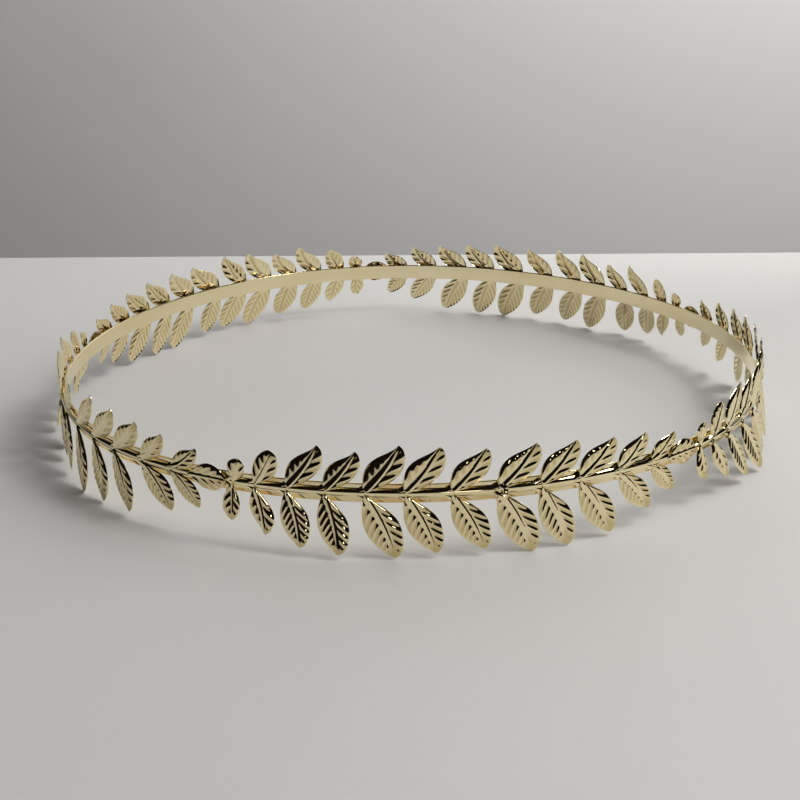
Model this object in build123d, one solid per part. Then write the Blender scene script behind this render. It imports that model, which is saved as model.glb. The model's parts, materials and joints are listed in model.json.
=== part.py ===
from build123d import *
import math
import os

# Laurel wreath crown: a plain flat hoop with five stamped metal leaf sprays, end to end round its outside.
# Lengths are in millimetres and angles in degrees. +Z is up, and the crown stands on its lowest leaf tips.

# Hoop. It is sprung a little out of round, which the bulges give.
HOOP_RADIUS = 90.0
BAND_HEIGHT = 4.4
BAND_THICKNESS = 0.6
HOOP_BULGES = (
    # lobes, height of a lobe, direction of the first lobe
    (2, 0.95, 10.0),
    (3, 1.25, -21.5),
    (4, 0.3, 19.0),
)
HOOP_POINT_STEP = 5

# Sprays, in order round the hoop, counter-clockwise seen from above, as their leaves point.
SPRAY_NAMES = ("spray_front", "spray_right", "spray_back_right", "spray_back_left", "spray_left")
FIRST_SPRAY = 0.680  # share of the way round from +X to the first spray's first pair of leaves
SPRAY_GAP = 0.1  # from the hoop's outside to a spray's back

# Stem of a spray: a ridge on the middle of the hoop.
STEM_RISE = 0.2  # above the middle of the band
STEM_LEAD = 0.8  # before the first pair of leaves
STEM_STEP = 4.8  # longest straight run of a stem, which keeps it off the round hoop
STEM_PROFILE = (
    # up, outward
    (-0.95, 0.0),
    (0.95, 0.0),
    (0.85, 0.4),
    (0.2, 0.95),
    (-0.2, 0.95),
    (-0.85, 0.4),
)

# Pairs of leaves of a spray. Tips are measured forward from the pair, and up or down from the band's middle,
# and a lean outward, in degrees, is positive.
LEAF_PAIRS = (
    # along the stem, upper forward, upper rise, upper lean, lower forward, lower drop, lower lean
    (0.0, 1.4, 5.6, -6, 0.5, 8.0, 14),
    (5.2, 3.8, 8.2, -8, 3.2, 10.1, 14),
    (12.6, 6.5, 10.3, -9, 3.8, 12.0, 18),
    (21.0, 6.6, 9.3, -9, 3.6, 13.0, 18),
    (29.8, 7.3, 10.8, -9, 6.7, 13.9, 8),
    (38.6, 7.3, 10.8, -8, 6.6, 12.9, 8),
    (48.6, 7.4, 10.0, -8, 6.9, 12.5, 8),
    (58.9, 8.3, 10.2, -8, 7.1, 14.3, 7),
    (68.5, 8.1, 9.6, -8, 5.4, 13.9, 6),
    (77.6, 8.4, 8.8, -7, 7.1, 13.0, 7),
    (87.6, 7.1, 8.1, -6, 7.6, 9.8, 6),
    (96.8, 6.8, 6.3, -5, 6.0, 7.5, 6),
)
# Leaves that hang differently in one spray. Moves are added to the values above.
BENT_LEAVES = (
    # spray, leaves, first pair, last pair, tip moved forward, lean added
    ("spray_right", "upper", 1, 12, 0.0, 8),
    ("spray_back_left", "upper", 6, 6, -0.8, 9),
    ("spray_back_left", "upper", 7, 7, 1.8, 2),
    ("spray_back_left", "upper", 9, 12, 0.5, 6),
    ("spray_back_left", "lower", 4, 6, 0.0, 5),
    ("spray_back_left", "lower", 7, 7, -2.6, 0),
    ("spray_left", "upper", 1, 7, 0.0, 9),
    ("spray_left", "upper", 9, 10, -0.5, 8),
    ("spray_left", "lower", 2, 6, 0.0, -8),
    ("spray_left", "lower", 11, 12, 1.8, -4),
)
END_LEAF_START = 5.6  # from the last pair to the base of the end leaf
END_LEAF_TIP = 14.9
LEAF_SETBACK = 0.4  # from a spray's back to the back of its leaves at the stem

# Blades. Reaches and bows are shares of a leaf's length; fullness under 1 makes a side rounder.
BLADES = {
    # name: back reach, place, fullness, front reach, place, fullness, bow of the midrib, rows of facets
    "bud": (0.36, 0.62, 0.7, 0.34, 0.62, 0.7, 0.0, 6),
    "oval": (0.27, 0.60, 0.6, 0.27, 0.62, 0.6, 0.0, 6),
    "drop": (0.22, 0.62, 0.7, 0.22, 0.62, 0.7, 0.0, 6),
    "blunt": (0.19, 0.48, 0.7, 0.27, 0.66, 0.7, 0.05, 6),
    "upper": (0.235, 0.45, 1.15, 0.29, 0.63, 0.7, 0.02, 9),
    "lower": (0.21, 0.50, 0.85, 0.28, 0.53, 0.65, 0.08, 9),
    "end": (0.31, 0.60, 0.8, 0.31, 0.54, 0.8, 0.0, 6),
}
UPPER_BLADES = {1: "bud", 2: "oval"}
LOWER_BLADES = {1: "drop", 2: "blunt"}
VEIN_SLANT = 0.2  # how far a vein runs forward from the midrib to the edge, as a share of the leaf
RIM_LOW = 0.22  # metal at the edge, at a groove
RIM_HIGH = 0.38  # metal at the edge, at a vein
RIB_HEIGHT = 0.6

# Bead of solder on the front spray, where it is tacked to the hoop.
BEAD_SPRAY = "spray_front"
BEAD_ALONG = 59.3
BEAD_LENGTH = 2.8
BEAD_HEIGHT = 2.6
BEAD_CORNERS = 8
BEAD_RINGS = (
    # share of the bead's size, outward
    (1.0, 0.3),
    (0.7, 1.0),
    (0.25, 1.2),
)


def hoop_radius(angle):
    """Radius of the hoop's outside at an angle from +X."""
    bulges = [bulge * math.cos(math.radians(lobes * (angle - start))) for lobes, bulge, start in HOOP_BULGES]
    return HOOP_RADIUS + sum(bulges)


def hoop_line(outward=0.0):
    """Closed curve level with the middle of the band, a distance outward from the hoop's outside."""
    angles = range(0, 360, HOOP_POINT_STEP)
    points = [Vector(hoop_radius(angle) + outward, 0).rotate(Axis.Z, angle) for angle in angles]
    return Edge.make_spline(points, periodic=True)


def flat_solid(faces):
    """Closed solid from lists of corners, one list for each flat face."""
    return Solid(Shell([Face(Wire.make_polygon(corners)) for corners in faces]))


def make_band():
    """Flat strip bent into the hoop."""
    outline = Wire([hoop_line()])
    hollow = Wire([hoop_line(-BAND_THICKNESS)])
    strip = extrude(Face(outline, [hollow]), amount=BAND_HEIGHT, dir=(0, 0, 1))
    return Pos(0, 0, -BAND_HEIGHT / 2) * strip.solid()


def spray_plane(line, along):
    """Plane on the hoop: its x runs forward, its y up and its z outward."""
    along = along % line.length
    place = line.position_at(along, position_mode=PositionMode.LENGTH)
    forward = line.tangent_at(along, position_mode=PositionMode.LENGTH)
    return Plane(origin=place, x_dir=forward, z_dir=forward.cross(Vector(0, 0, 1)))


def side_reach(share, reach, place, fullness):
    """Distance of a blade's edge from its chord, as a share of its length."""
    swell = math.sin(math.pi * share ** (math.log(0.5) / math.log(place)))
    return reach * max(swell, 0.0) ** fullness


def leaf_faces(plane, blade, base, tip, lean, up):
    """Faces of one leaf: a flat back, a rim and raised facets between the midrib and the edge."""
    back_reach, back_place, back_full, front_reach, front_place, front_full, bow, rows = BLADES[blade]
    chord = Vector(*tip) - Vector(*base)
    length = chord.length
    ahead = chord / length
    back = Vector(-ahead.Y, ahead.X) if up else Vector(ahead.Y, -ahead.X)
    slope = math.tan(math.radians(lean)) * (1 if up else -1)

    def place(share, side, height):
        flat = Vector(*base) + ahead * (share * length) + back * (side * length)
        leaned = (flat.Y - base[1]) * slope
        return plane.from_local_coords(Vector(flat.X, flat.Y, LEAF_SETBACK + leaned + height))

    shares = [row / rows for row in range(rows + 1)]
    rib_shares = [share - VEIN_SLANT * math.sin(math.pi * share) for share in shares]
    rib = [place(share, -4 * bow * share * (1 - share), RIB_HEIGHT) for share in rib_shares[1:-1]]
    sides = []
    floors = []
    for sign, reach, widest, fullness in (
        (1, back_reach, back_place, back_full),
        (-1, front_reach, front_place, front_full),
    ):
        edge = []
        floor = []
        for row, share in enumerate(shares):
            out = sign * side_reach(share, reach, widest, fullness)
            edge.append(place(share, out, RIM_HIGH if row % 2 == 0 else RIM_LOW))
            floor.append(place(share, out, 0.0))
        sides.append(edge)
        floors.append(floor)
    faces = []
    for edge, floor in zip(sides, floors):
        faces.append([edge[0], edge[1], rib[0]])
        faces.append([edge[-2], edge[-1], rib[-1]])
        for row in range(1, rows - 1):
            faces.append([edge[row], edge[row + 1], rib[row]])
            faces.append([edge[row], rib[row], rib[row - 1]])
        for row in range(rows):
            faces.append([floor[row], floor[row + 1], edge[row + 1], edge[row]])
    faces.append(floors[0] + floors[1][-2:0:-1])
    return faces


def make_stem(line, start, end):
    """Ridge along the hoop from one place to another."""
    runs = math.ceil((end - start) / STEM_STEP)
    rings = []
    for run in range(runs + 1):
        plane = spray_plane(line, start + (end - start) * run / runs)
        rings.append([plane.from_local_coords(Vector(0, STEM_RISE + up, out)) for up, out in STEM_PROFILE])
    corners = len(STEM_PROFILE)
    faces = [rings[0], rings[-1]]
    for near, far in zip(rings, rings[1:]):
        for corner in range(corners):
            after = (corner + 1) % corners
            faces.append([near[corner], near[after], far[after]])
            faces.append([near[corner], far[after], far[corner]])
    return flat_solid(faces)


def bend(spray, leaves, pair):
    """Move of a leaf's tip forward and the lean added to it, where it hangs differently in one spray."""
    for name, side, first, last, forward, lean in BENT_LEAVES:
        if name == spray and side == leaves and first <= pair <= last:
            return forward, lean
    return 0.0, 0.0


def make_leaf(plane, spray, leaves, pair, forward, rise, lean):
    """One leaf of a pair, from the stem to its tip."""
    blades = UPPER_BLADES if leaves == "upper" else LOWER_BLADES
    moved, leaned = bend(spray, leaves, pair)
    tip = (forward + moved, rise)
    foot = (0.0, STEM_RISE)
    return flat_solid(leaf_faces(plane, blades.get(pair, leaves), foot, tip, lean + leaned, rise > 0))


def make_bead(line, along):
    """Low lump on the stem."""
    plane = spray_plane(line, along)
    rings = []
    for size, outward in BEAD_RINGS:
        ring = []
        for corner in range(BEAD_CORNERS):
            turn = 2 * math.pi * corner / BEAD_CORNERS
            ahead = size * BEAD_LENGTH / 2 * math.cos(turn)
            up = STEM_RISE + size * BEAD_HEIGHT / 2 * math.sin(turn)
            ring.append(plane.from_local_coords(Vector(ahead, up, outward)))
        rings.append(ring)
    faces = [rings[0], rings[-1]]
    for near, far in zip(rings, rings[1:]):
        for corner in range(BEAD_CORNERS):
            after = (corner + 1) % BEAD_CORNERS
            faces.append([near[corner], near[after], far[after], far[corner]])
    return flat_solid(faces)


def make_spray(line, start, name):
    """Stem, twelve pairs of leaves and the end leaf, as one stamping."""
    pieces = []
    for pair, row in enumerate(LEAF_PAIRS, 1):
        along, upper_forward, rise, upper_lean, lower_forward, drop, lower_lean = row
        plane = spray_plane(line, start + along)
        pieces.append(make_leaf(plane, name, "upper", pair, upper_forward, rise, upper_lean))
        pieces.append(make_leaf(plane, name, "lower", pair, lower_forward, -drop, lower_lean))
    last = start + LEAF_PAIRS[-1][0]
    middle = (END_LEAF_START + END_LEAF_TIP) / 2
    half = (END_LEAF_TIP - END_LEAF_START) / 2
    plane = spray_plane(line, last + middle)
    pieces.append(flat_solid(leaf_faces(plane, "end", (-half, STEM_RISE), (half, STEM_RISE), 0.0, True)))
    if name == BEAD_SPRAY:
        pieces.append(make_bead(line, start + BEAD_ALONG))
    stem = make_stem(line, start - STEM_LEAD, last + middle)
    return stem.fuse(*pieces)


def main():
    os.makedirs("parts", exist_ok=True)
    line = hoop_line(SPRAY_GAP)
    nodes = {"band": make_band()}
    for number, name in enumerate(SPRAY_NAMES):
        start = line.length * (FIRST_SPRAY + number / len(SPRAY_NAMES))
        nodes[name] = make_spray(line, start, name)
    box = Compound(list(nodes.values())).bounding_box()
    to_frame = Pos(-box.center().X, -box.center().Y, -box.min.Z)
    for name, solid in nodes.items():
        export_step(to_frame * solid, os.path.join("parts", name + ".step"))


main()
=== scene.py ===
from collections import namedtuple
import json
import math
import random

import bmesh
import bpy
import numpy as np
from mathutils import Matrix, Vector
from mathutils import noise as lumps

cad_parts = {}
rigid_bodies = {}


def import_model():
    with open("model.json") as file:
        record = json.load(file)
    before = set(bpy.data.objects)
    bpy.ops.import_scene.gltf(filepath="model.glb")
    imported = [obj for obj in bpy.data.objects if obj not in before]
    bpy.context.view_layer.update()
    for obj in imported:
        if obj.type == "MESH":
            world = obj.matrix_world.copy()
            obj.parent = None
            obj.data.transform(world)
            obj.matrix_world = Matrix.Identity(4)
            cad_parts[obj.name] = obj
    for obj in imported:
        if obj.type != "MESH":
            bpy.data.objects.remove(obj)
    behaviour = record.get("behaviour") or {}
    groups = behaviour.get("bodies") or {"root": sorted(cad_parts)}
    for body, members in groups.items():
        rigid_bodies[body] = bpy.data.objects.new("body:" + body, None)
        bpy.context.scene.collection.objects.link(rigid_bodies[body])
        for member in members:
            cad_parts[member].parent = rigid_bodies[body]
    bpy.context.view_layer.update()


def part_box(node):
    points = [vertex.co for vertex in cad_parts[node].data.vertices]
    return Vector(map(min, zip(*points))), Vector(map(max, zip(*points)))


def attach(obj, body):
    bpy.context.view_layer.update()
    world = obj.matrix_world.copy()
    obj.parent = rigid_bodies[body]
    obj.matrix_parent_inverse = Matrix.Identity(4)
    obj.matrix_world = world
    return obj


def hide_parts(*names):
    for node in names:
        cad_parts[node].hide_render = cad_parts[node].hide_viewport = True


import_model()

bl_info = {
    "name": "Laurel wreath crown",
    "version": (1, 0, 0),
    "blender": (4, 5, 0),
    "location": "3D View > Sidebar > Laurel crown",
    "description": "Dresses a laurel wreath crown in stamped leaf sprays of polished pale gold",
    "category": "Object",
}

# Sizes are in millimetres and angles in degrees. Meshes are made in metres.
MM = 0.001
MERGE_REACH = 0.002  # points this near fall together
SLIVER_REACH = 0.0005  # edges this short are taken out

# Hoop, a little out of round: lobes, height of a lobe, direction of the first lobe.
HOOP_RADIUS = 90.0
HOOP_BULGES = ((2, 0.95, 10.0), (3, 1.25, -21.5), (4, 0.3, 19.0))
HOOP_START_RADIUS = 91.5  # in direction +X, before the hoop is centred
HOOP_POINTS = 720
BAND_HEIGHT = 4.4
BAND_THICKNESS = 0.6
BAND_ROUNDING = 0.22
ROUNDING_STEP = 18
SEAM_PLACE = 3.6  # to the right of the band's middle, in front
SEAM_WIDTH = 0.11
SMOOTH_ANGLE = 38.0
SPRAY_GAP = 0.1  # from the hoop's outside to a spray's back
FIRST_SPRAY = 0.680  # share of the way round from +X to the front spray's first pair of leaves
SPRAYS = ("spray_front", "spray_right", "spray_back_right", "spray_back_left", "spray_left")

# Stem: a ridge on the middle of the hoop.
STEM_RISE = 0.2
STEM_LEAD = 0.8
STEM_STEP = 0.8
STEM_START = (0.72, 1.5)  # share of the full section where the stem begins, and how far it grows
STEM_END = (0.35, 6.0)  # share that is lost at the stem's tip, and over what length
STEM_PROFILE = (  # up, outward
    (-1.15, 0.0),
    (-1.15, 0.40),
    (-1.05, 0.56),
    (-0.40, 0.80),
    (0.2, 0.97),
    (0.32, 0.94),
    (0.86, 0.46),
    (0.93, 0.34),
    (0.95, 0.0),
)

# Pairs of leaves: tips forward from the pair, and up or down from the band's middle. A lean is positive
# where the tip leans outward.
LEAF_PAIRS = (
    # along the stem, upper forward, upper rise, upper lean, lower forward, lower drop, lower lean
    (0.0, 1.4, 5.6, -6, 0.5, 8.0, 14),
    (5.2, 3.8, 8.2, -8, 3.2, 10.1, 14),
    (12.6, 6.5, 10.3, -9, 3.8, 12.0, 18),
    (21.0, 6.6, 9.3, -9, 3.6, 13.0, 18),
    (29.8, 7.3, 10.8, -9, 6.7, 13.9, 8),
    (38.6, 7.3, 10.8, -8, 6.6, 12.9, 8),
    (48.6, 7.4, 10.0, -8, 6.9, 12.5, 8),
    (58.9, 8.3, 10.2, -8, 7.1, 14.3, 7),
    (68.5, 8.1, 9.6, -8, 5.4, 13.9, 6),
    (77.6, 8.4, 8.8, -7, 7.1, 13.0, 7),
    (87.6, 7.1, 8.1, -6, 7.6, 9.8, 6),
    (96.8, 6.8, 6.3, -5, 6.0, 7.5, 6),
)
BENT_LEAVES = (
    # spray, leaves, first pair, last pair, tip moved forward, lean added, twist added
    ("spray_front", "upper", 3, 5, 0.0, -2.0, 0),
    ("spray_front", "upper", 6, 12, 0.0, 2.5, 0),
    ("spray_front", "lower", 3, 4, 0.0, -3.0, 0),
    ("spray_front", "lower", 9, 9, 0.0, 2.5, 0),
    ("spray_right", "upper", 1, 12, 0.0, 5, 0),
    ("spray_back_left", "upper", 6, 6, -0.8, 9, 0),
    ("spray_back_left", "upper", 7, 7, 1.8, 2, 0),
    ("spray_back_left", "upper", 9, 12, 0.5, 6, 0),
    ("spray_back_left", "lower", 4, 6, 0.0, 5, 0),
    ("spray_back_left", "lower", 7, 7, -2.6, 0, 0),
    ("spray_left", "upper", 1, 7, 0.0, 9, 0),
    ("spray_left", "upper", 8, 11, -0.4, 3, 0),
    ("spray_left", "lower", 2, 6, 0.0, -8, 0),
    ("spray_left", "lower", 11, 12, 1.8, -4, 0),
)
# Every leaf outside the front spray is bent a little, its own way, as from handling.
HAND_SEEDS = {
    "spray_front": 1, "spray_right": 2, "spray_back_right": 3, "spray_back_left": 4, "spray_left": 5,
}
HAND_LEAN = 2.0
HAND_TWIST = 6.0
END_LEAF_START = 4.6
END_LEAF_TIP = 14.9
LEAF_SETBACK = 0.55  # from the spray's back to the back of its leaves

# Blades. An edge is its reach from the chord and the place of its widest point, both as shares of the
# length, and how full it is towards the root and towards the tip. A half has its veins, where the first one
# leaves the midrib as a share of their spacing, the width of the midrib's flank, how soon a vein rises, how
# steeply the half falls away from the midrib, how narrow its veins are, and the share of the flank that its
# bulge leaves out.
Edge = namedtuple("Edge", "reach place root tip")
Half = namedtuple("Half", "edge veins first flank rise fall narrow bulge_start", defaults=(0.0, 1.25, 0.0))
Blade = namedtuple("Blade", "length bow back front")
BLADES = {
    "bud": Blade(
        5.8, -0.05,
        Half(Edge(0.44, 0.62, 1.0, 0.7), 2.6, 0.6, 0.28, 0.4),
        Half(Edge(0.31, 0.60, 0.55, 0.6), 2.4, 0.7, 0.9, 0.5)),
    "oval": Blade(
        8.9, 0.035,
        Half(Edge(0.28, 0.55, 0.66, 0.52), 4.6, 0.4, 0.3, 0.4, 0.05),
        Half(Edge(0.34, 0.53, 1.2, 0.42), 4.2, 0.4, 1.0, 0.5)),
    "drop": Blade(
        8.2, 0.0,
        Half(Edge(0.30, 0.60, 0.8, 0.6), 4.2, 0.3, 0.4, 0.3),
        Half(Edge(0.21, 0.66, 1.3, 0.6), 4.2, 0.3, 0.42, 0.3)),
    "blunt": Blade(
        10.8, 0.045,
        Half(Edge(0.20, 0.42, 0.9, 1.3), 5.4, 0.5, 0.7, 0.35),
        Half(Edge(0.27, 0.66, 1.45, 0.42), 4.8, 0.3, 0.4, 0.6)),
    "folded": Blade(
        12.3, 0.06,
        Half(Edge(0.225, 0.40, 0.62, 1.8), 7.0, 0.3, 0.9, 2.4, 0.11, 1.8, 1.0),
        Half(Edge(0.285, 0.63, 1.0, 0.42), 4.7, 0.25, 0.45, 1.0)),
    "upper": Blade(
        12.3, 0.06,
        Half(Edge(0.225, 0.40, 0.62, 1.8), 5.8, 0.3, 0.9, 0.8, 0.0, 1.25, 1.0),
        Half(Edge(0.285, 0.63, 1.0, 0.42), 4.7, 0.25, 0.45, 1.0)),
    "lower": Blade(
        14.6, 0.05,
        Half(Edge(0.217, 0.50, 0.8, 0.8), 8.5, 0.5, 0.9, 0.35),
        Half(Edge(0.257, 0.58, 1.4, 0.43), 7.3, 0.3, 0.45, 0.8)),
    "end": Blade(
        10.3, 0.0,
        Half(Edge(0.31, 0.55, 1.0, 0.7), 4.6, 0.3, 0.7, 0.5, 0.0, 1.25, 1.0),
        Half(Edge(0.30, 0.60, 1.0, 0.65), 4.6, 0.5, 0.5, 0.5)),
}
BLADE_NAMES = sorted(BLADES)
MIRRORED_BLADES = ("drop", "blunt", "lower")
UPPER_BLADES = {1: "bud", 2: "oval", 3: "folded", 4: "folded", 5: "folded"}
LOWER_BLADES = {1: "drop", 2: "blunt"}

# Relief of a blade.
VEIN_RUN = 1.25  # how far a vein runs towards the tip for each step outward
ROOT_SPREAD = 0.25  # how close the veins that fan out of the root may come
OUTLINE_STEPS = 800
ROWS_PER_VEIN = 8
RIDGE_COLUMNS = (0.0, 0.2, 0.6, 1.0)  # shares of the midrib's flank
BLADE_COLUMNS = (0.09, 0.2, 0.34, 0.5, 0.66, 0.8, 0.91, 1.0)  # shares of the way on to the edge
MIDRIB_TAPER = (0.45, 1.5)  # share that the midrib loses by the tip, and how late it loses it
CREST_SOFTNESS = 0.03
RELIEF_ROOM = 0.9  # half width from which a leaf has its full relief
VEIN_FADE = 0.07  # share of the length before the tip over which the veins fade
VEIN_TAILS = (0.6, 0.3)  # how far from the edge a vein begins to fall, on the back half and the front half
CURL_POWER = 1.7
TIP_CURL = (0.75, 0.8, 0.15)  # share of the front rim's curl that is lost, from where, and over what length
# Painted shade at a leaf's tip, darker towards the tip.
TIP_SHADE = (0.86, 0.12)  # from where, and over what length
RIM_WIDTH = 0.85
RIM_SWELL = 0.04
RIM_ENDS = 0.3  # how suddenly the swell ends at the root and the tip
RIM_THINNING = 0.55  # share of the sheet's thickness that is gone at the edge
BACK_RELIEF = 1.3  # share of the front's relief that shows behind

BEAD_SPRAY = "spray_front"
BEAD_ALONG = 59.5
BEAD_RISE = -0.7
BEAD_SIZE = (1.75, 2.1, 2.0)  # half length, half height, outward
BEAD_LUMPS = (1.6, 0.2)  # scale, height
BEAD_CREASES = (4.3, 0.12, 0.07)  # scale, depth, width
CREASE_START = (3.1, 0.7, 5.2)
BEAD_FLATNESS = 0.6
BEAD_BACK = 0.2


class CrownSizes(bpy.types.PropertyGroup):
    """Sizes of the stamped relief."""
    sheet: bpy.props.FloatProperty(
        name="Sheet", description="Thickness of the leaf metal",
        default=0.34 * MM, unit="LENGTH", precision=5)
    midrib_height: bpy.props.FloatProperty(
        name="Midrib height", description="How far a midrib stands up",
        default=0.28 * MM, unit="LENGTH", precision=5)
    vein_height: bpy.props.FloatProperty(
        name="Vein height", description="How far a vein stands up",
        default=0.165 * MM, unit="LENGTH", precision=5)
    rim_drop: bpy.props.FloatProperty(
        name="Rim drop", description="How far a leaf's rim curls back",
        default=0.27 * MM, unit="LENGTH", precision=5)
    bulge: bpy.props.FloatProperty(
        name="Bulge", description="How far each half of a leaf bulges",
        default=0.1 * MM, unit="LENGTH", precision=5)


class CrownFinish(bpy.types.PropertyGroup):
    """Colours and gloss of the plated metal."""
    gold: bpy.props.FloatVectorProperty(
        name="Gold", description="Colour of the plated metal",
        default=(0.98, 0.87, 0.585), size=3, min=0, max=1, subtype="COLOR")
    warm_gold: bpy.props.FloatVectorProperty(
        name="Warm gold", description="Colour where the plating is thicker",
        default=(0.94, 0.81, 0.49), size=3, min=0, max=1, subtype="COLOR")
    # Painted shade: the colour that stands in for shade in the hollows between the veins, under the relief
    # behind, and at the leaf tips.
    painted_shade_gold: bpy.props.FloatVectorProperty(
        name="Hollow gold", description="Colour in the hollows between the veins",
        default=(0.62, 0.48, 0.22), size=3, min=0, max=1, subtype="COLOR")
    # Painted reflection: warm brown in patches on the hoop's outside, standing in for the leaves and the
    # shaded table mirrored in it.
    painted_reflection_gold: bpy.props.FloatVectorProperty(
        name="Flushed gold", description="Colour of the hoop's outside where the solder's heat flushed it",
        default=(0.72, 0.46, 0.17), size=3, min=0, max=1, subtype="COLOR")
    seam_brown: bpy.props.FloatVectorProperty(
        name="Seam", description="Colour of the line where the hoop's ends meet",
        default=(0.10, 0.05, 0.02), size=3, min=0, max=1, subtype="COLOR")
    roughness: bpy.props.FloatProperty(
        name="Roughness", description="Roughness of the polished metal",
        default=0.05, min=0, max=1, subtype="FACTOR")


class CrownStage(bpy.types.PropertyGroup):
    """Table, wall, light and camera."""
    table_colour: bpy.props.FloatVectorProperty(
        name="Table", description="Colour of the table",
        default=(0.72, 0.71, 0.69), size=3, min=0, max=1, subtype="COLOR")
    wall_colour: bpy.props.FloatVectorProperty(
        name="Wall", description="Colour of the wall behind",
        default=(0.78, 0.775, 0.76), size=3, min=0, max=1, subtype="COLOR")
    room_colour: bpy.props.FloatVectorProperty(
        name="Room", description="Colour of the dim room",
        default=(0.006, 0.0045, 0.0035), size=3, min=0, max=1, subtype="COLOR")
    soft_power: bpy.props.FloatProperty(
        name="Soft light", description="Power of the large light at the right",
        default=3.1, min=0, unit="POWER")
    key_power: bpy.props.FloatProperty(
        name="Key light", description="Power of the small light at the right",
        default=1.6, min=0, unit="POWER")
    top_power: bpy.props.FloatProperty(
        name="Top light", description="Power of the soft light overhead", default=5.6, min=0, unit="POWER")
    lamp_power: bpy.props.FloatProperty(
        name="Lamp", description="Power of the small light in front", default=0.16, min=0, unit="POWER")
    wall_power: bpy.props.FloatProperty(
        name="Wall light", description="Power of the light on the wall", default=3.2, min=0, unit="POWER")


class Socket:
    """Output of a node, for Python's operators."""

    def __init__(self, maker, socket):
        self.maker = maker
        self.socket = socket

    def maths(self, operation, *values):
        inputs = dict(enumerate((self, *values)))
        return self.maker.add("ShaderNodeMath", {"operation": operation}, inputs)

    def __add__(self, other):
        return self.maths("ADD", other)

    def __radd__(self, other):
        return self.maths("ADD", other)

    def __sub__(self, other):
        return self.maths("SUBTRACT", other)

    def __rsub__(self, other):
        return (self * -1.0) + other

    def __mul__(self, other):
        return self.maths("MULTIPLY", other)

    def __rmul__(self, other):
        return self.maths("MULTIPLY", other)

    def __truediv__(self, other):
        return self.maths("DIVIDE", other)

    def __abs__(self):
        return self.maths("ABSOLUTE")

    def clamped(self):
        return self.maths("MAXIMUM", 0.0).maths("MINIMUM", 1.0)

    def beside(self, output):
        """Another output of the same node."""
        return Socket(self.maker, self.socket.node.outputs[output])


class Nodes:
    """Maker of nodes in one tree."""

    def __init__(self, tree):
        self.tree = tree
        tree.nodes.clear()

    def add(self, kind, settings=None, inputs=None, output=0):
        """Adds a node: its settings first, then the values or links of its sockets."""
        node = self.tree.nodes.new(kind)
        for name, value in (settings or {}).items():
            if name == "stops":
                self.set_stops(node.color_ramp, value)
            else:
                setattr(node, name, value)
        for name, value in (inputs or {}).items():
            if isinstance(value, Socket):
                self.tree.links.new(value.socket, node.inputs[name])
            else:
                node.inputs[name].default_value = value
        return Socket(self, node.outputs[output]) if node.outputs else None

    def set_stops(self, ramp, stops):
        while len(ramp.elements) < len(stops):
            ramp.elements.new(1.0)
        for element, (position, level) in zip(ramp.elements, stops):
            element.position = position
            element.color = (level, level, level, 1.0)


def new_material(name):
    material = bpy.data.materials.new(name)
    material.use_nodes = True
    return material, Nodes(material.node_tree)


def noise(nodes, scale, detail=2.0, roughness=0.5):
    """Noise on the object's own coordinates, with its scale in features for each metre."""
    place = nodes.add("ShaderNodeTexCoord", output="Object")
    return nodes.add("ShaderNodeTexNoise", {}, {
        "Vector": place, "Scale": scale, "Detail": detail, "Roughness": roughness})


# Finish of the metal: scales of its noises in features for each metre, and how much each one does.
PATCH_SCALE = 45.0
PATCH_RANGE = ((0.35, 0.0), (0.7, 1.0))
SMEAR_SCALE = 420.0
SMEAR_ROUGHNESS = 0.04
GRAIN_SCALE = 5200.0
GRAIN_ROUGHNESS = 0.02
RIPPLE_SCALE = 260.0
FINE_RIPPLE_SCALE = 900.0
FINE_RIPPLE = 0.25
RIPPLE_BUMP = {"Strength": 0.35, "Distance": 0.00003}
BAND_RIPPLE = 0.5
LEAF_RIPPLE = 1.0
# Strength of the painted shade in the leaves' hollows and at their tips.
PAINTED_SHADE_STRENGTH = 0.75
# Painted warm reflection on the hoop's outside: scale of its patches, their range and strength.
PAINTED_REFLECTION_SCALE = 75.0
PAINTED_REFLECTION_RANGE = ((0.42, 0.0), (0.58, 1.0))
PAINTED_REFLECTION_STRENGTH = 0.7
OUTER_SHARPNESS = 60.0
SEAM_DEPTH = 2.0


def blend(nodes, share, first, second):
    """Colour between two, each given as a socket or as plain values."""
    first, second = (value if isinstance(value, Socket) else (*value, 1.0) for value in (first, second))
    return nodes.add("ShaderNodeMix", {"data_type": "RGBA"}, {0: share, 6: first, 7: second}, 2)


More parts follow.
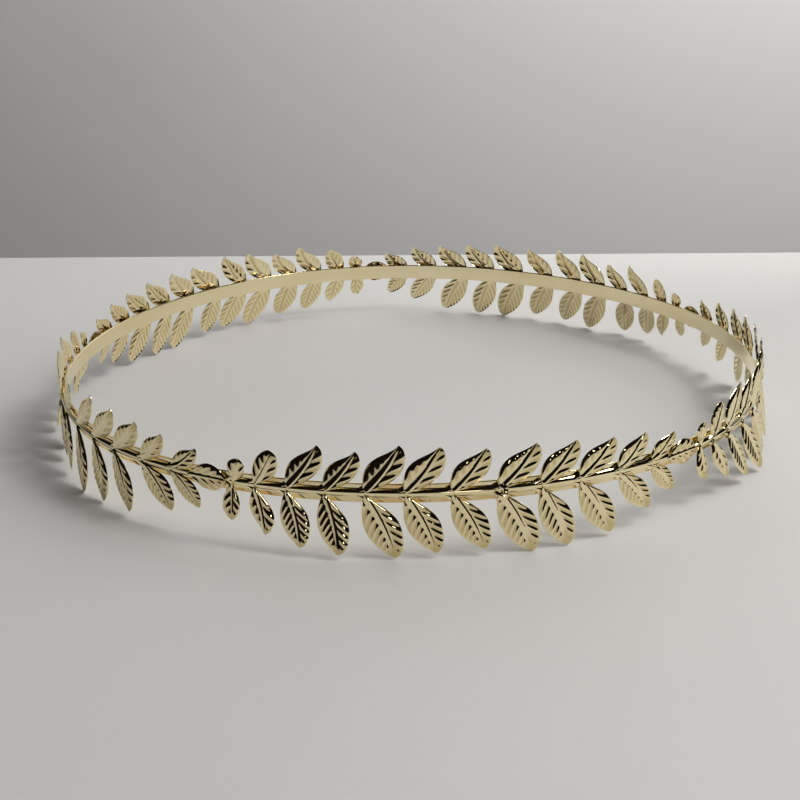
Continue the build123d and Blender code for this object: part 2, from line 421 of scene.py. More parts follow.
def gold_material(name, finish, ripple, seam=None, painted_hollow_shade=False):
    """Polished pale gold plating, with soft ripples and fine wear, painted shade in the leaves' hollows and
    at their tips, and a painted warm reflection on the hoop's outside.
    """
    material, nodes = new_material(name)
    patches = noise(nodes, PATCH_SCALE, 3.0)
    smears = noise(nodes, SMEAR_SCALE, 4.0, 0.6)
    grain = noise(nodes, GRAIN_SCALE, 2.0, 0.6)
    tone = nodes.add("ShaderNodeValToRGB", {"stops": PATCH_RANGE}, {"Fac": patches})
    colour = blend(nodes, tone, finish.gold, finish.warm_gold)
    if painted_hollow_shade:
        # Painted shade in the leaves' hollows and at their tips, from the values on their points.
        hollow = nodes.add("ShaderNodeAttribute", {"attribute_name": "hollow"}, {}, "Fac")
        colour = blend(nodes, hollow * PAINTED_SHADE_STRENGTH, colour, finish.painted_shade_gold)
    roughness = finish.roughness + SMEAR_ROUGHNESS * smears + GRAIN_ROUGHNESS * grain
    height = ripple * noise(nodes, RIPPLE_SCALE, 1.0)
    height = height + FINE_RIPPLE * ripple * noise(nodes, FINE_RIPPLE_SCALE, 2.0)
    if seam is not None:
        place = nodes.add("ShaderNodeTexCoord", output="Object")
        across = nodes.add("ShaderNodeSeparateXYZ", {}, {0: place})
        line = (1.0 - abs(across - seam[0]) / seam[1]).clamped()
        line = line * across.beside(1).maths("LESS_THAN", 0.0)
        # Painted reflection on the hoop's outside only, in noisy warm brown patches.
        point = nodes.add("ShaderNodeNewGeometry", output="Position")
        outer = nodes.add("ShaderNodeVectorMath", {"operation": "DOT_PRODUCT"}, {
            0: point, 1: point.beside("Normal")}, "Value")
        outer = (outer * OUTER_SHARPNESS).clamped()
        painted_reflection = nodes.add("ShaderNodeValToRGB", {"stops": PAINTED_REFLECTION_RANGE}, {
            "Fac": noise(nodes, PAINTED_REFLECTION_SCALE, 3.0, 0.6)})
        colour = blend(nodes, outer * painted_reflection * PAINTED_REFLECTION_STRENGTH, colour, finish.painted_reflection_gold)
        colour = blend(nodes, line, colour, finish.seam_brown)
        height = height - SEAM_DEPTH * line
    bump = nodes.add("ShaderNodeBump", {}, {**RIPPLE_BUMP, "Height": height})
    surface = nodes.add("ShaderNodeBsdfPrincipled", {}, {
        "Base Color": colour, "Metallic": 1.0, "Roughness": roughness, "Normal": bump})
    nodes.add("ShaderNodeOutputMaterial", {}, {"Surface": surface})
    return material


def side_reach(share, edge):
    """Distance of a blade's edge from its chord, as a share of its length."""
    near = np.sin(0.5 * np.pi * np.clip(share / edge.place, 0.0, 1.0)) ** edge.root
    beyond = np.clip((share - edge.place) / (1.0 - edge.place), 0.0, 1.0)
    far = np.maximum(np.cos(0.5 * np.pi * beyond), 0.0) ** edge.tip
    return edge.reach * np.where(share < edge.place, near, far)


def vein_ends(along, edge, bow, sign):
    """Where the lines that leave the midrib at the given shares of the length reach the edge."""
    share = 1.0 - (1.0 - np.linspace(0.0, 1.0, OUTLINE_STEPS)) ** 3
    width = side_reach(share, edge) + sign * 4.0 * bow * share * (1.0 - share)
    steps = np.maximum(np.diff(share - VEIN_RUN * width), ROOT_SPREAD * np.diff(share))
    start = np.concatenate([[0.0], np.cumsum(steps)])
    return np.interp(along, start / start[-1], share)


def smooth(value):
    """Smooth step from 0 to 1."""
    value = np.clip(value, 0.0, 1.0)
    return value * value * (3.0 - 2.0 * value)


def tent(value):
    """Ridge of height 1 at 0 and 0 from 1 on, with a rounded crest."""
    low = math.sqrt(1.0 + CREST_SOFTNESS) - math.sqrt(CREST_SOFTNESS)
    ridge = 1.0 - (np.sqrt(value * value + CREST_SOFTNESS) - math.sqrt(CREST_SOFTNESS)) / low
    return np.maximum(ridge, 0.0)


def blade_half(blade, sizes, sign):
    """Places and relief of one half of a blade, from the midrib out to the edge, row by row."""
    length, bow, back, front = BLADES[blade]
    half = back if sign > 0 else front
    edge_form = half.edge
    rows = math.ceil(ROWS_PER_VEIN * max(back.veins, front.veins))
    along = np.linspace(0.0, 1.0, rows + 1)
    at_edge = vein_ends(along, edge_form, bow, sign)
    middle = -4.0 * bow * along * (1.0 - along) * length
    edge = sign * side_reach(at_edge, edge_form) * length
    width = np.abs(edge - middle)
    taper = 1.0 - MIDRIB_TAPER[0] * along ** MIDRIB_TAPER[1]
    ridge = np.minimum(half.flank * taper, 0.5 * width)
    columns = [share * ridge for share in RIDGE_COLUMNS]
    columns += [columns[-1] + share * (width - columns[-1]) for share in BLADE_COLUMNS]
    out = np.stack(columns, 1)
    part = np.divide(out, width[:, None], out=np.zeros_like(out), where=width[:, None] > 1e-6)
    part[:, -1] = 1.0
    x = (along[:, None] + (at_edge - along)[:, None] * part) * length
    y = middle[:, None] + (edge - middle)[:, None] * part
    room = smooth(width / RELIEF_ROOM)[:, None]
    crest = tent(out / np.maximum(ridge[:, None], 0.05)) * room
    midrib = sizes.midrib_height / MM * crest * taper[:, None]
    wave = (0.5 + 0.5 * np.cos(2.0 * np.pi * (along * half.veins - half.first))) ** half.narrow
    wave = wave * smooth((1.0 - along) / VEIN_FADE)
    head = smooth((out - ridge[:, None]) / half.rise)
    tail = smooth((width[:, None] - out) / (VEIN_TAILS[0] if sign > 0 else VEIN_TAILS[1]))
    pads = sizes.vein_height / MM * wave[:, None] * head * tail * room
    start = half.bulge_start * ridge
    beyond = np.clip((out - start[:, None]) / np.maximum(width - start, 0.05)[:, None], 0.0, 1.0)
    bulge = (sizes.bulge / MM * 4.0 * beyond * (1.0 - beyond) - half.fall * out) * room
    near_edge = np.clip(1.0 - (width[:, None] - out) / RIM_WIDTH, 0.0, 1.0)
    curl = near_edge ** CURL_POWER
    if sign < 0:
        lost, start, reach = TIP_CURL
        curl = curl * (1.0 - lost * smooth((at_edge - start) / reach))[:, None]
    # Painted shade: the grooves between the veins and the tip on the face, and the hollows under the veins
    # and the midrib behind.
    tip = smooth((at_edge - TIP_SHADE[0]) / TIP_SHADE[1])[:, None]
    groove_and_tip_shade = np.maximum((1.0 - wave[:, None]) * head * tail * room, tip)
    sunk_shade = np.maximum(wave[:, None] * head * tail * room, crest)
    form = bulge - sizes.rim_drop / MM * curl * room
    return x, y, midrib + pads, form, smooth(near_edge), groove_and_tip_shade, sunk_shade


def blade_mesh(blade, sizes):
    """Closed mesh of one leaf, lying along +X with its face up."""
    sheet = sizes.sheet / MM
    back = blade_half(blade, sizes, 1.0)
    front = blade_half(blade, sizes, -1.0)
    halves = [np.concatenate([behind[:, :0:-1], ahead], 1) for behind, ahead in zip(back, front)]
    x, y, relief, form, rim_share, groove_and_tip_shade, sunk_shade = halves
    rows, columns = x.shape
    top = np.stack([x, y, sheet + form + relief], 2)
    bottom = np.stack([x, y, form + BACK_RELIEF * relief + RIM_THINNING * sheet * rim_share], 2)
    rims = []
    for column, sign in ((0, 1.0), (columns - 1, -1.0)):
        rim = (top[:, column] + bottom[:, column]) / 2
        ends = np.maximum(np.sin(np.pi * np.arange(rows) / (rows - 1)), 0.0) ** RIM_ENDS
        rim[:, 1] += sign * RIM_SWELL * ends
        rims.append(rim[:, None])
    ring = np.concatenate([rims[0], top, rims[1], bottom[:, ::-1]], 1)
    if blade in MIRRORED_BLADES:
        ring = ring * (1.0, -1.0, 1.0)
    # Painted shade values on the points: none on the rims.
    edge = np.zeros((rows, 1))
    hollow = np.concatenate([edge, groove_and_tip_shade, edge, sunk_shade[:, ::-1]], 1)
    return sweep_mesh(blade, ring, {"hollow": hollow})


def sweep_mesh(name, ring, values):
    """Closed mesh from rows of points round a section, in millimetres, with named values on its points."""
    rows, count = ring.shape[:2]
    points = ring.reshape(-1, 3) * MM
    faces = []
    for row in range(rows - 1):
        for spot in range(count):
            after = (spot + 1) % count
            near = row * count
            far = near + count
            faces.append((near + spot, near + after, far + after, far + spot))
    faces.append(tuple(range(count))[::-1])
    faces.append(tuple(range((rows - 1) * count, rows * count)))
    mesh = bpy.data.meshes.new(name)
    mesh.from_pydata(points.tolist(), [], faces)
    for value, level in values.items():
        level = np.broadcast_to(level, (rows, count)).astype(float)
        mesh.attributes.new(value, "FLOAT", "POINT").data.foreach_set("value", level.ravel())
    tidy_mesh(mesh)
    return mesh


def tidy_mesh(mesh):
    """Merges the points that fall together and turns all faces outward."""
    body = bmesh.new()
    body.from_mesh(mesh)
    bmesh.ops.remove_doubles(body, verts=body.verts, dist=MERGE_REACH * MM)
    bmesh.ops.dissolve_degenerate(body, edges=body.edges, dist=SLIVER_REACH * MM)
    bmesh.ops.recalc_face_normals(body, faces=body.faces)
    body.to_mesh(mesh)
    body.free()


def stem_mesh():
    """Ridge of a spray, laid out flat along +X."""
    last = LEAF_PAIRS[-1][0] + (END_LEAF_START + END_LEAF_TIP) / 2
    count = math.ceil((last + STEM_LEAD) / STEM_STEP)
    along = np.linspace(-STEM_LEAD, last, count + 1)
    slim = STEM_START[0] + (1.0 - STEM_START[0]) * smooth((along + STEM_LEAD) / STEM_START[1])
    slim = slim - STEM_END[0] * smooth((along - last + STEM_END[1]) / STEM_END[1])
    profile = np.array(STEM_PROFILE)
    ring = np.zeros((len(along), len(profile), 3))
    ring[:, :, 0] = along[:, None]
    ring[:, :, 1] = STEM_RISE + profile[:, 0] * slim[:, None]
    ring[:, :, 2] = profile[:, 1]
    return sweep_mesh("stem", ring, {"foot": along[:, None] * MM})


STALK_SECTION = (  # across, as a share of the leaf's flank on that side, and down from the crest
    (1.0, 0.36),
    (0.55, 0.2),
    (0.12, 0.02),
    (-0.12, 0.02),
    (-0.55, 0.2),
    (-1.0, 0.36),
)
STALK_SHARE = 0.3  # of the leaf's length
STALK_LEAD = 2.7
STALK_START = (0.3, 0.66)  # off the stem's middle, outward
STALK_TURN = (-0.35, 0.4)  # along, off the stem's middle
STALK_TURN_OUT = (1.08, 0.98)  # outward, for an upper and a lower leaf
STALK_CREST = 0.57
STALK_SKIRT = (0.9, 0.5)  # across, down: edge that sinks into the leaf
STALK_STEPS = 15
STALK_NARROW = (0.15, 1.8)  # share of the full width where the stalk begins, and how fast it widens


def leaf_stalk(blade, foot, tip, lean):
    """Short ridge that carries a midrib off the stem in a smooth curve."""
    side = 1.0 if tip[1] > 0 else -1.0
    form = BLADES[blade]
    back_flank = form.back.flank
    front_flank = form.front.flank
    slope = math.tan(math.radians(lean)) * side
    reach = (tip[1] - STEM_RISE) * STALK_SHARE
    turn_out = STALK_TURN_OUT[0] if side > 0 else STALK_TURN_OUT[1]
    start = np.array([-STALK_LEAD, STEM_RISE + STALK_START[0] * side, STALK_START[1]])
    turn = np.array([STALK_TURN[0], STEM_RISE + STALK_TURN[1] * side, turn_out])
    end = np.array([tip[0] * STALK_SHARE, STEM_RISE + reach, LEAF_SETBACK + STALK_CREST + slope * reach])
    bow = 4.0 * form.bow * STALK_SHARE * (1.0 - STALK_SHARE)
    bow = bow * np.array([(tip[1] - STEM_RISE) * side, -tip[0] * side])
    end[:2] += bow
    turn[:2] += 0.5 * bow
    steps = np.linspace(0.0, 1.0, STALK_STEPS)[:, None]
    spine = (1 - steps) ** 2 * start + 2 * steps * (1 - steps) * turn + steps ** 2 * end
    heading = 2 * (1 - steps) * (turn - start) + 2 * steps * (end - turn)
    heading = heading[:, :2] / np.linalg.norm(heading[:, :2], axis=1)[:, None]
    across = np.stack([-heading[:, 1], heading[:, 0]], 1) * side
    wide = STALK_NARROW[0] + (1.0 - STALK_NARROW[0]) * smooth(steps * STALK_NARROW[1])
    tilt = slope * side * across[:, 1:] * wide
    ring = []
    for share, drop in STALK_SECTION:
        flank = back_flank if share > 0 else front_flank
        flat = spine[:, :2] + across * wide * share * flank
        ring.append(np.concatenate([flat, spine[:, 2:] - drop * wide + tilt * share * flank], 1))
    for share in (-STALK_SKIRT[0], STALK_SKIRT[0]):
        flank = back_flank if share > 0 else front_flank
        flat = spine[:, :2] + across * wide * share * flank
        ring.append(np.concatenate([flat, spine[:, 2:] - STALK_SKIRT[1]], 1))
    ring = np.stack(ring, 1)
    ring[:, :, 0] += foot
    return sweep_mesh("stalk", ring, {"foot": foot * MM})


def bend(spray, leaves, pair):
    """Move of a leaf's tip forward and the lean and twist added to it, where one spray's leaf differs."""
    for name, side, first, last, forward, lean, twist in BENT_LEAVES:
        if name == spray and side == leaves and first <= pair <= last:
            return forward, lean, twist
    return 0.0, 0.0, 0.0


def leaf_rows(spray):
    """Blade, foot along the stem, tip from its foot, lean and twist of each leaf of a spray."""
    rows = []
    hand = random.Random(HAND_SEEDS[spray])

    def loose(reach):
        return hand.uniform(-reach, reach) if spray != BEAD_SPRAY else 0.0

    for pair, (along, *leaves) in enumerate(LEAF_PAIRS, 1):
        for side, blades, up, (forward, reach, lean) in (
            ("upper", UPPER_BLADES, 1.0, leaves[:3]), ("lower", LOWER_BLADES, -1.0, leaves[3:]),
        ):
            moved, leaned, twist = bend(spray, side, pair)
            lean = lean + leaned + loose(HAND_LEAN)
            twist = twist + loose(HAND_TWIST)
            rows.append((blades.get(pair, side), along, (forward + moved, up * reach), lean, twist))
    return rows


def leaf_place(start, tip, lean, twist):
    """Turn and length of a leaf from its foot to its tip."""
    up = 1.0 if tip[1] >= start else -1.0
    slope = math.tan(math.radians(lean)) * up
    ahead = Vector((tip[0], tip[1] - start, (tip[1] - start) * slope))
    length = ahead.length
    ahead.normalize()
    face = Vector((0.0, -slope, 1.0)).normalized()
    across = face.cross(ahead)
    turn = Matrix((ahead, across, face)).transposed()
    turn = turn @ Matrix.Rotation(math.radians(twist), 3, "X")
    return turn.to_euler(), length


def spray_points(spray):
    """Loose points of a spray, laid out flat, that carry what each leaf needs."""
    places = []
    kinds = []
    feet = []
    turns = []
    sizes = []
    for blade, along, tip, lean, twist in leaf_rows(spray):
        turn, length = leaf_place(STEM_RISE, tip, lean, twist)
        places.append((along, STEM_RISE, LEAF_SETBACK))
        kinds.append(BLADE_NAMES.index(blade))
        feet.append(along)
        turns.append(turn)
        sizes.append(length / BLADES[blade].length)
    last = LEAF_PAIRS[-1][0]
    places.append((last + END_LEAF_START, STEM_RISE, LEAF_SETBACK))
    kinds.append(BLADE_NAMES.index("end"))
    feet.append(last + (END_LEAF_START + END_LEAF_TIP) / 2)
    turns.append((0.0, 0.0, 0.0))
    sizes.append((END_LEAF_TIP - END_LEAF_START) / BLADES["end"].length)
    mesh = bpy.data.meshes.new(spray + "_points")
    mesh.from_pydata([tuple(value * MM for value in place) for place in places], [], [])
    for name, kind, values in (
        ("blade", "INT", kinds),
        ("foot", "FLOAT", [foot * MM for foot in feet]),
        ("size", "FLOAT", sizes),
    ):
        mesh.attributes.new(name, kind, "POINT").data.foreach_set("value", values)
    turned = mesh.attributes.new("turn", "FLOAT_VECTOR", "POINT")
    turned.data.foreach_set("vector", [angle for turn in turns for angle in turn])
    return mesh


def hoop_points(outward):
    """Points round the hoop's outside, a distance outward, in the frame."""
    angles = np.radians(np.arange(HOOP_POINTS) * 360.0 / HOOP_POINTS)

    def ring(offset):
        radius = HOOP_RADIUS + offset
        for lobes, bulge, start in HOOP_BULGES:
            radius = radius + bulge * np.cos(lobes * (angles - math.radians(start)))
        return np.stack([radius * np.cos(angles), radius * np.sin(angles)], 1)

    low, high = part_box("band")
    outline = ring(0.0)
    centre = (outline.min(0) + outline.max(0)) / 2
    middle = (low + high) / 2
    points = (ring(outward) - centre) * MM + (middle.x, middle.y)
    return [(x, y, middle.z) for x, y in points]


def closed_curve(name, points):
    """Object of one closed curve through points."""
    curve = bpy.data.curves.new(name, "CURVE")
    curve.dimensions = "3D"
    curve.twist_mode = "Z_UP"
    spline = curve.splines.new("POLY")
    spline.points.add(len(points) - 1)
    for point, place in zip(spline.points, points):
        point.co = (*place, 1.0)
    spline.use_cyclic_u = True
    line = bpy.data.objects.new(name, curve)
    bpy.context.scene.collection.objects.link(line)
    return line


def band_section():
    """Corners of the band's rounded section, about its middle."""
    corners = []
    for across, up, start in ((1, 1, 0), (-1, 1, 90), (-1, -1, 180), (1, -1, 270)):
        middle = (across * (BAND_THICKNESS / 2 - BAND_ROUNDING), up * (BAND_HEIGHT / 2 - BAND_ROUNDING))
        for angle in range(start, start + 91, ROUNDING_STEP):
            turn = math.radians(angle)
            corners.append((
                (middle[0] + BAND_ROUNDING * math.cos(turn)) * MM,
                (middle[1] + BAND_ROUNDING * math.sin(turn)) * MM, 0.0))
    return corners


def band_tree():
    """Geometry nodes: sweep the band's section round the hoop."""
    tree = bpy.data.node_groups.new("Band round hoop", "GeometryNodeTree")
    face = tree.interface
    for name, kind in (
        ("Geometry", "NodeSocketGeometry"), ("Hoop", "NodeSocketObject"), ("Section", "NodeSocketObject"),
        ("Material", "NodeSocketMaterial"),
    ):
        face.new_socket(name, in_out="INPUT", socket_type=kind)
    face.new_socket("Geometry", in_out="OUTPUT", socket_type="NodeSocketGeometry")
    nodes = Nodes(tree)
    group = tree.nodes.new("NodeGroupInput")
    given = {socket.name: Socket(nodes, socket) for socket in group.outputs if socket.name}
    line = nodes.add("GeometryNodeObjectInfo", {}, {"Object": given["Hoop"]}, "Geometry")
    section = nodes.add("GeometryNodeObjectInfo", {}, {"Object": given["Section"]}, "Geometry")
    strip = nodes.add("GeometryNodeCurveToMesh", {}, {"Curve": line, "Profile Curve": section})
    whole = nodes.add("GeometryNodeRealizeInstances", {}, {0: strip})
    dressed = nodes.add("GeometryNodeSetMaterial", {}, {"Geometry": whole, "Material": given["Material"]})
    nodes.add("NodeGroupOutput", {}, {0: dressed})
    return tree


def spray_tree():
    """Geometry nodes: set blades on a spray's points, join its stem and bend the whole round the hoop."""
    tree = bpy.data.node_groups.new("Spray on hoop", "GeometryNodeTree")
    face = tree.interface
    for name, kind in (
        ("Geometry", "NodeSocketGeometry"), ("Blades", "NodeSocketCollection"), ("Stem", "NodeSocketObject"),
        ("Hoop", "NodeSocketObject"), ("Start", "NodeSocketFloat"), ("Material", "NodeSocketMaterial"),
    ):
        face.new_socket(name, in_out="INPUT", socket_type=kind)
    face.new_socket("Geometry", in_out="OUTPUT", socket_type="NodeSocketGeometry")
    nodes = Nodes(tree)
    group = tree.nodes.new("NodeGroupInput")
    given = {socket.name: Socket(nodes, socket) for socket in group.outputs if socket.name}

    def named(kind, name):
        return nodes.add("GeometryNodeInputNamedAttribute", {"data_type": kind}, {"Name": name})

    blades = nodes.add("GeometryNodeCollectionInfo", {}, {
        "Collection": given["Blades"], "Separate Children": True, "Reset Children": True})
    turn = nodes.add("FunctionNodeEulerToRotation", {}, {0: named("FLOAT_VECTOR", "turn")})
    leaves = nodes.add("GeometryNodeInstanceOnPoints", {}, {
        "Points": given["Geometry"], "Instance": blades, "Pick Instance": True,
        "Instance Index": named("INT", "blade"), "Rotation": turn, "Scale": named("FLOAT", "size")})
    stem = nodes.add("GeometryNodeObjectInfo", {}, {"Object": given["Stem"]}, "Geometry")
    join = tree.nodes.new("GeometryNodeJoinGeometry")
    tree.links.new(stem.socket, join.inputs[0])
    tree.links.new(leaves.socket, join.inputs[0])
    spray = nodes.add("GeometryNodeRealizeInstances", {}, {0: Socket(nodes, join.outputs[0])})
    line = nodes.add("GeometryNodeObjectInfo", {}, {"Object": given["Hoop"]}, "Geometry")
    around = nodes.add("GeometryNodeCurveLength", {}, {0: line})
    foot = named("FLOAT", "foot")
    length = (foot + given["Start"] * around).maths("WRAP", around, 0.0)
    sample = tree.nodes.new("GeometryNodeSampleCurve")
    sample.mode = "LENGTH"
    sample.use_all_curves = False
    tree.links.new(line.socket, sample.inputs["Curves"])
    tree.links.new(length.socket, sample.inputs["Length"])
    origin = Socket(nodes, sample.outputs["Position"])
    forward = origin.beside("Tangent")
    here = nodes.add("GeometryNodeInputPosition")
    flat = nodes.add("ShaderNodeSeparateXYZ", {}, {0: here})

    def vector(operation, first, second):
        name = "Scale" if operation == "SCALE" else 1
        return nodes.add("ShaderNodeVectorMath", {"operation": operation}, {0: first, name: second})

    outward = vector("CROSS_PRODUCT", forward, (0.0, 0.0, 1.0))
    rise = nodes.add("ShaderNodeCombineXYZ", {}, {"Z": flat.beside(1)})
    place = vector("ADD", origin, vector("SCALE", forward, flat - foot))
    place = vector("ADD", place, vector("SCALE", outward, flat.beside(2)))
    place = vector("ADD", place, rise)
    bent = nodes.add("GeometryNodeSetPosition", {}, {"Geometry": spray, "Position": place})
    dressed = nodes.add("GeometryNodeSetMaterial", {}, {"Geometry": bent, "Material": given["Material"]})
    nodes.add("NodeGroupOutput", {}, {0: dressed})
    return tree


def join_meshes(name, meshes):
    """One mesh from several, with their foot attribute."""
    holder = bpy.data.objects.new(name, bpy.data.meshes.new(name))
    body = bmesh.new()
    for mesh in meshes:
        body.from_mesh(mesh)
        bpy.data.meshes.remove(mesh)
    body.to_mesh(holder.data)
    body.free()
    return holder


def smooth_edges(mesh, angle):
    mesh.polygons.foreach_set("use_smooth", [True] * len(mesh.polygons))
    mesh.set_sharp_from_angle(angle=math.radians(angle))


def fill_modifier(source, tree, values):
    """Puts a tree on an object and fills its named inputs."""
    modifier = source.modifiers.new(tree.name, "NODES")
    modifier.node_group = tree
    for item in tree.interface.items_tree:
        if item.in_out == "INPUT" and item.name in values:
            modifier[item.identifier] = values[item.name]


def plain_piece(name, source):
    """The evaluated result of an object's modifiers as a plain mesh object."""
    graph = bpy.context.evaluated_depsgraph_get()
    mesh = bpy.data.meshes.new_from_object(source.evaluated_get(graph))
    mesh.name = name
    piece = bpy.data.objects.new(name, mesh)
    bpy.context.scene.collection.objects.link(piece)
    return piece


def bead_mesh():
    """Crinkled lump of solder, laid out flat."""
    body = bmesh.new()
    bmesh.ops.create_icosphere(body, subdivisions=4, radius=1.0)
    for point in body.verts:
        lump = lumps.noise(point.co * BEAD_LUMPS[0])
        crease = abs(lumps.noise(point.co * BEAD_CREASES[0] + Vector(CREASE_START)))
        swell = 1.0 + BEAD_LUMPS[1] * lump - BEAD_CREASES[1] * math.exp(-((crease / BEAD_CREASES[2]) ** 2))
        point.co.z = math.copysign(abs(point.co.z) ** BEAD_FLATNESS, point.co.z)
        point.co = Vector([axis * half * swell for axis, half in zip(point.co, BEAD_SIZE)])
        point.co.z = max(point.co.z, BEAD_BACK)
        point.co = (point.co + Vector((BEAD_ALONG, STEM_RISE + BEAD_RISE, 0.0))) * MM
    bmesh.ops.recalc_face_normals(body, faces=body.faces)
    mesh = bpy.data.meshes.new("bead")
    body.to_mesh(mesh)
    body.free()
    foot = mesh.attributes.new("foot", "FLOAT", "POINT")
    foot.data.foreach_set("value", [BEAD_ALONG * MM] * len(mesh.vertices))
    return mesh


class CROWN_OT_band(bpy.types.Operator):
    """Give the hoop its finish"""
    bl_idname = "crown.band"
    bl_label = "Finish the hoop"

    def execute(self, context):
        finish = context.scene.crown_finish
        low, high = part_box("band")
        seam_x = low.x + (high.x - low.x) * 0.5 + SEAM_PLACE * MM
        metal = gold_material("band_gold", finish, BAND_RIPPLE, seam=(seam_x, SEAM_WIDTH * MM))
        line = closed_curve("band_line", hoop_points(-BAND_THICKNESS / 2))
        section = closed_curve("band_section", band_section())
        source = bpy.data.objects.new("band_source", bpy.data.meshes.new("band_source"))
        context.scene.collection.objects.link(source)
        fill_modifier(source, band_tree(), {"Hoop": line, "Section": section, "Material": metal})
        piece = plain_piece("hoop", source)
        tidy_mesh(piece.data)
        smooth_edges(piece.data, SMOOTH_ANGLE)
        for used in (source, line, section):
            bpy.data.objects.remove(used)
        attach(piece, "root")
        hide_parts("band")
        return {"FINISHED"}


class CROWN_OT_sprays(bpy.types.Operator):
    """Build the five stamped leaf sprays round the hoop"""
    bl_idname = "crown.sprays"
    bl_label = "Build the leaf sprays"

    def execute(self, context):
        scene = context.scene
        metal = gold_material("leaf_gold", scene.crown_finish, LEAF_RIPPLE, painted_hollow_shade=True)
        blades = bpy.data.collections.new("blades")
        scene.collection.children.link(blades)
        for name in BLADE_NAMES:
            blades.objects.link(bpy.data.objects.new(name, blade_mesh(name, scene.crown_sizes)))
        line = closed_curve("hoop_line", hoop_points(SPRAY_GAP))
        tree = spray_tree()
        for number, spray in enumerate(SPRAYS):
            meshes = [stem_mesh()]
            for blade, along, tip, lean, twist in leaf_rows(spray):
                meshes.append(leaf_stalk(blade, along, tip, lean))
            if spray == BEAD_SPRAY:
                meshes.append(bead_mesh())
            stem = join_meshes("stem", meshes)
            scene.collection.objects.link(stem)
            source = bpy.data.objects.new(spray + "_source", spray_points(spray))
            scene.collection.objects.link(source)
            start = (FIRST_SPRAY + number / len(SPRAYS)) % 1.0
            fill_modifier(source, tree, {
                "Blades": blades, "Stem": stem, "Hoop": line, "Start": start, "Material": metal})
            piece = plain_piece("leaves_" + spray.removeprefix("spray_"), source)
            smooth_edges(piece.data, SMOOTH_ANGLE)
            for used in (source, stem):
                bpy.data.objects.remove(used)
            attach(piece, "root")
            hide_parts(spray)
        for used in [line, *blades.objects]:
            bpy.data.objects.remove(used)
        bpy.data.collections.remove(blades)
        return {"FINISHED"}


# Camera, from the middle of the hoop.
CAMERA_DISTANCE = 404.0
CAMERA_ELEVATION = 18.93
CAMERA_AIM = (-2.66, -30.26)
CAMERA_ROLL = -0.507
CAMERA_LENS = 67.15
CAMERA_NEAR = 0.01  # metres


def add_camera():
    low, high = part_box("band")
    shift = Vector(hoop_points(0.0)[0]) - Vector((HOOP_START_RADIUS, 0.0, 0.0)) * MM
    middle = Vector((shift.x, shift.y, (low.z + high.z) / 2))
    lift = math.radians(CAMERA_ELEVATION)
    camera = bpy.data.objects.new("camera", bpy.data.cameras.new("camera"))
    bpy.context.scene.collection.objects.link(camera)
    camera.data.lens = CAMERA_LENS
    camera.data.clip_start = CAMERA_NEAR
    camera.location = middle + Vector((0.0, -math.cos(lift), math.sin(lift))) * CAMERA_DISTANCE * MM
    aim = middle + Vector((*CAMERA_AIM, 0.0)) * MM
    turn = (aim - camera.location).to_track_quat("-Z", "Y")
    roll = Matrix.Rotation(math.radians(CAMERA_ROLL), 4, "Z")
    camera.rotation_euler = (turn.to_matrix().to_4x4() @ roll).to_euler()
    bpy.context.scene.camera = camera


def add_light(name, place, aim, size, power, tint, mirrored):
    """Area light. One that isn't mirrored only lights the scene softly, as a bounce off a ceiling does."""
    lamp = bpy.data.lights.new(name, "AREA")
    lamp.shape = "RECTANGLE"
    lamp.size, lamp.size_y = size
    lamp.energy = power
    lamp.color = tint
    light = bpy.data.objects.new(name, lamp)
    light.location = place
    light.rotation_euler = (Vector(aim) - Vector(place)).to_track_quat("-Z", "Y").to_euler()
    light.visible_glossy = mirrored
    bpy.context.scene.collection.objects.link(light)


# Finish of the table and the wall.
FLECK_SCALE = 900.0
CLOUD_SCALE = 6.0
CLOUD_SHADES = (0.97, 1.03)
FLECK_BUMP = {"Strength": 0.08, "Distance": 0.0002}
TABLE_ROUGHNESS = 0.6
WALL_ROUGHNESS = 0.8
SHEET_ANGLE = 30.0


def plain_material(name, colour, roughness):
    """Matt paint, a little uneven."""
    material, nodes = new_material(name)
    fleck = noise(nodes, FLECK_SCALE, 3.0)
    cloud = noise(nodes, CLOUD_SCALE, 2.0)
    dark, light = ([level * shade for level in colour] for shade in CLOUD_SHADES)
    paint = blend(nodes, cloud, dark, light)
    bump = nodes.add("ShaderNodeBump", {}, {**FLECK_BUMP, "Height": fleck})
    surface = nodes.add("ShaderNodeBsdfPrincipled", {}, {
        "Base Color": paint, "Roughness": roughness, "Normal": bump})
    nodes.add("ShaderNodeOutputMaterial", {}, {"Surface": surface})
    return material


def add_sheet(name, rows, material):
    """Stage surface through rows of points."""
    width = len(rows[0])
    points = [point for row in rows for point in row]
    faces = []
    for row in range(len(rows) - 1):
        for spot in range(width - 1):
            near = row * width + spot
            faces.append((near, near + 1, near + width + 1, near + width))
    mesh = bpy.data.meshes.new(name)
    mesh.from_pydata(points, [], faces)
    mesh.materials.append(material)
    smooth_edges(mesh, SHEET_ANGLE)
    sheet = bpy.data.objects.new(name, mesh)
    bpy.context.scene.collection.objects.link(sheet)


# Stage, in metres.
TABLE_BACK = 0.166  # where the table ends behind the crown
TABLE_FRONT = -1.3
TABLE_SIDE = 1.4
TABLE_THICKNESS = 0.012
TABLE_EDGE = 0.0015
EDGE_TURNS = (90, 60, 30, 0)
WALL_PLACE = 0.68
WALL_SIDE = 1.6
WALL_FOOT = -0.7
WALL_HEIGHT = 1.1


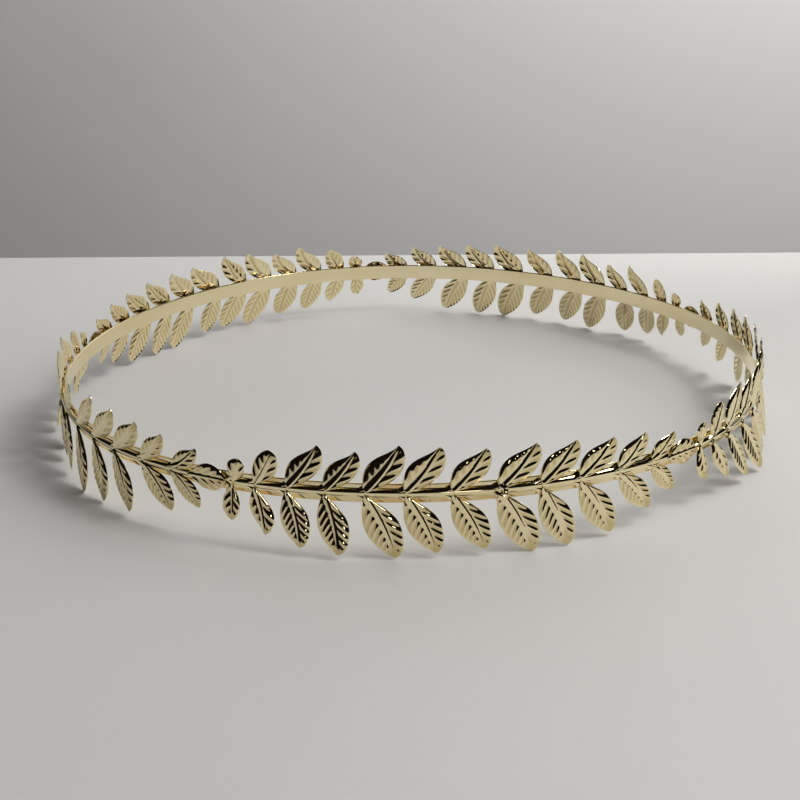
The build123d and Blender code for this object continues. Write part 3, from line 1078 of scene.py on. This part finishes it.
def add_table(material):
    turns = [math.radians(angle) for angle in EDGE_TURNS]
    profile = [(TABLE_FRONT, -TABLE_THICKNESS), (TABLE_FRONT, 0.0)]
    profile += [
        (TABLE_BACK - TABLE_EDGE + TABLE_EDGE * math.cos(turn), -TABLE_EDGE + TABLE_EDGE * math.sin(turn))
        for turn in turns
    ]
    profile.append((TABLE_BACK, -TABLE_THICKNESS))
    rows = [[(side, y, z) for y, z in profile] for side in (TABLE_SIDE, -TABLE_SIDE)]
    add_sheet("table", rows, material)


def add_wall(material):
    rows = [[(side, WALL_PLACE, z) for z in (WALL_FOOT, WALL_HEIGHT)] for side in (WALL_SIDE, -WALL_SIDE)]
    add_sheet("wall", rows, material)


# Lights, in metres.
LIGHTS = (
    # name, place, aim, size, tint, mirrored in the metal
    ("soft", (0.60, -0.10, 0.66), (0.0, 0.0, 0.0), (0.9, 0.8), (1.0, 0.99, 0.975), False),
    ("key", (0.47, -0.13, 0.68), (0.0, 0.0, 0.0), (0.24, 0.2), (1.0, 0.99, 0.975), True),
    ("top", (0.75, 0.05, 0.9), (0.35, 0.0, 0.0), (1.4, 1.6), (1.0, 0.995, 0.985), False),
    ("lamp", (0.19, -0.70, 0.385), (-0.03, -0.09, 0.01), (0.14, 0.1), (1.0, 0.99, 0.97), True),
    ("wall", (0.36, 0.2, 0.42), (-0.06, 1.107, 0.42), (0.5, 0.5), (1.0, 0.99, 0.98), False),
)


class CROWN_OT_stage(bpy.types.Operator):
    """Set up the table, the wall, the soft light and the camera"""
    bl_idname = "crown.stage"
    bl_label = "Set up the stage"

    def execute(self, context):
        stage = context.scene.crown_stage
        context.scene.view_settings.view_transform = "Standard"
        add_table(plain_material("table_top", stage.table_colour, TABLE_ROUGHNESS))
        add_wall(plain_material("wall_paper", stage.wall_colour, WALL_ROUGHNESS))
        for name, place, aim, size, tint, mirrored in LIGHTS:
            add_light(name + "_light", place, aim, size, getattr(stage, name + "_power"), tint, mirrored)
        world = bpy.data.worlds.new("room")
        context.scene.world = world
        world.use_nodes = True
        nodes = Nodes(world.node_tree)
        glow = nodes.add("ShaderNodeBackground", {}, {"Color": (*stage.room_colour, 1.0), "Strength": 1.0})
        nodes.add("ShaderNodeOutputWorld", {}, {"Surface": glow})
        add_camera()
        return {"FINISHED"}


class CROWN_PT_panel(bpy.types.Panel):
    """Steps and settings of the crown"""
    bl_idname = "CROWN_PT_panel"
    bl_label = "Laurel crown"
    bl_space_type = "VIEW_3D"
    bl_region_type = "UI"
    bl_category = "Laurel crown"

    def draw(self, context):
        for step in (CROWN_OT_stage, CROWN_OT_band, CROWN_OT_sprays):
            self.layout.operator(step.bl_idname)
        for group in ("crown_sizes", "crown_finish", "crown_stage"):
            settings = getattr(context.scene, group)
            box = self.layout.box()
            for name in settings.bl_rna.properties.keys():
                if name not in {"rna_type", "name"}:
                    box.prop(settings, name)


CLASSES = (
    CrownSizes, CrownFinish, CrownStage, CROWN_OT_stage, CROWN_OT_band, CROWN_OT_sprays, CROWN_PT_panel,
)


def register():
    for kind in CLASSES:
        bpy.utils.register_class(kind)
    bpy.types.Scene.crown_sizes = bpy.props.PointerProperty(type=CrownSizes)
    bpy.types.Scene.crown_finish = bpy.props.PointerProperty(type=CrownFinish)
    bpy.types.Scene.crown_stage = bpy.props.PointerProperty(type=CrownStage)


def unregister():
    del bpy.types.Scene.crown_stage
    del bpy.types.Scene.crown_finish
    del bpy.types.Scene.crown_sizes
    for kind in reversed(CLASSES):
        bpy.utils.unregister_class(kind)


def main():
    register()
    bpy.ops.crown.stage()
    bpy.ops.crown.band()
    bpy.ops.crown.sprays()
    bpy.context.view_layer.update()


if __name__ == "__main__":
    main()
